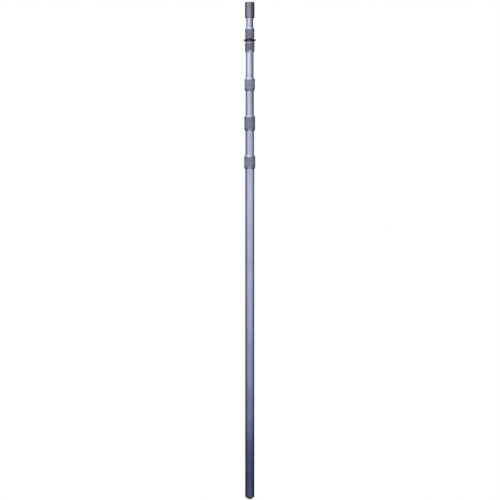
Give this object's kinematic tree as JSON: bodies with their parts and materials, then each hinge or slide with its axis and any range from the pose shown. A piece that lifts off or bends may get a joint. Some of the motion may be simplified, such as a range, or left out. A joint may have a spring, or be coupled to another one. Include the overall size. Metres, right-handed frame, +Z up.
{
  "type": "boom pole",
  "caption": "Telescoping microphone boom pole of nested aluminium tubes with a twist lock at each joint, a threaded barrel head at the tip and a rubber foot.",
  "frame": {"origin": "centre of the rubber foot's underside, where the pole stands", "axes": "+Z up along the pole's axis to the microphone end. The pole is turned all over, so +X and +Y are any two directions square to it."},
  "size_m": [0.043, 0.043, 1.787],
  "materials": {
    "tube_anodised": "satin silver-lavender anodising",
    "collar_anodised": "fine turned, clear anodised",
    "graphite_anodised": "graphite anodised, diamond knurl",
    "tip_anodised": "dark anodised, semi-gloss",
    "plug_black": "moulded, matt",
    "nylon": "natural nylon",
    "black_rubber": "matt",
    "brass": "turned",
    "steel": "black-zinc screws"
  },
  "bodies": {
    "base": {"tube_1": "tube_anodised", "base_plug": "plug_black", "base_foot": "black_rubber", "base_screw": "steel", "ferrule_1": "collar_anodised", "seal_ring_1": "black_rubber"},
    "section_2": {"tube_2": "tube_anodised", "guide_bush_2": "nylon", "ferrule_2": "collar_anodised", "seal_ring_2": "black_rubber"},
    "section_3": {"tube_3": "tube_anodised", "guide_bush_3": "nylon", "ferrule_3": "collar_anodised", "seal_ring_3": "black_rubber"},
    "section_4": {"tube_4": "tube_anodised", "guide_bush_4": "nylon", "ferrule_4": "collar_anodised", "seal_ring_4": "black_rubber"},
    "section_5": {"tube_5": "tube_anodised", "guide_bush_5": "nylon", "ferrule_5": "collar_anodised", "seal_ring_5": "black_rubber", "bumper_ring": "black_rubber"},
    "section_6": {"tube_6": "tube_anodised", "guide_bush_6": "nylon", "tip_head": "tip_anodised", "thread_insert": "brass", "tip_set_screw_1": "steel", "tip_set_screw_2": "steel"},
    "collet_1": {"collet_1": "nylon"},
    "lock_1": {"lock_nut_1": "collar_anodised", "grip_sleeve_1": "graphite_anodised"},
    "collet_2": {"collet_2": "nylon"},
    "lock_2": {"lock_nut_2": "collar_anodised", "grip_sleeve_2": "graphite_anodised"},
    "collet_3": {"collet_3": "nylon"},
    "lock_3": {"lock_nut_3": "collar_anodised", "grip_sleeve_3": "graphite_anodised"},
    "collet_4": {"collet_4": "nylon"},
    "lock_4": {"lock_nut_4": "collar_anodised", "grip_sleeve_4": "graphite_anodised"},
    "collet_5": {"collet_5": "nylon"},
    "lock_5": {"lock_nut_5": "collar_anodised", "grip_sleeve_5": "graphite_anodised"}
  },
  "joints": [
    {"name": "section_2_slide", "type": "slide", "parent": "base", "child": "section_2", "axis": [0, 0, 1], "range_m": [-0.0855, 0.913]},
    {"name": "section_3_slide", "type": "slide", "parent": "section_2", "child": "section_3", "axis": [0, 0, 1], "range_m": [-0.0855, 0.914]},
    {"name": "section_4_slide", "type": "slide", "parent": "section_3", "child": "section_4", "axis": [0, 0, 1], "range_m": [-0.0895, 0.9177]},
    {"name": "section_5_slide", "type": "slide", "parent": "section_4", "child": "section_5", "axis": [0, 0, 1], "range_m": [0, 1.0037]},
    {"name": "section_6_slide", "type": "slide", "parent": "section_5", "child": "section_6", "axis": [0, 0, 1], "range_m": [-0.0335, 0.9735]},
    {"name": "collet_1_lift", "type": "slide", "parent": "base", "child": "collet_1", "axis": [0, 0, 1], "range_m": [0, 0.00101]},
    {"name": "lock_1_turn", "type": "hinge", "parent": "collet_1", "child": "lock_1", "pos_m": [0, 0, 1.186], "axis": [0, 0, 1], "range_deg": [0, 180]},
    {"name": "collet_2_lift", "type": "slide", "parent": "section_2", "child": "collet_2", "axis": [0, 0, 1], "range_m": [0, 0.00101]},
    {"name": "lock_2_turn", "type": "hinge", "parent": "collet_2", "child": "lock_2", "pos_m": [0, 0, 1.323], "axis": [0, 0, 1], "range_deg": [0, 180]},
    {"name": "collet_3_lift", "type": "slide", "parent": "section_3", "child": "collet_3", "axis": [0, 0, 1], "range_m": [0, 0.00101]},
    {"name": "lock_3_turn", "type": "hinge", "parent": "collet_3", "child": "lock_3", "pos_m": [0, 0, 1.466], "axis": [0, 0, 1], "range_deg": [0, 180]},
    {"name": "collet_4_lift", "type": "slide", "parent": "section_4", "child": "collet_4", "axis": [0, 0, 1], "range_m": [0, 0.00101]},
    {"name": "lock_4_turn", "type": "hinge", "parent": "collet_4", "child": "lock_4", "pos_m": [0, 0, 1.605], "axis": [0, 0, 1], "range_deg": [0, 180]},
    {"name": "collet_5_lift", "type": "slide", "parent": "section_5", "child": "collet_5", "axis": [0, 0, 1], "range_m": [0, 0.00101]},
    {"name": "lock_5_turn", "type": "hinge", "parent": "collet_5", "child": "lock_5", "pos_m": [0, 0, 1.654], "axis": [0, 0, 1], "range_deg": [0, 180]}
  ],
  "couplings": [
    {"joint": "collet_1_lift", "follows": "lock_1_turn", "m_per_rad": 0.00031831},
    {"joint": "collet_2_lift", "follows": "lock_2_turn", "m_per_rad": 0.00031831},
    {"joint": "collet_3_lift", "follows": "lock_3_turn", "m_per_rad": 0.00031831},
    {"joint": "collet_4_lift", "follows": "lock_4_turn", "m_per_rad": 0.00031831},
    {"joint": "collet_5_lift", "follows": "lock_5_turn", "m_per_rad": 0.00031831}
  ]
}
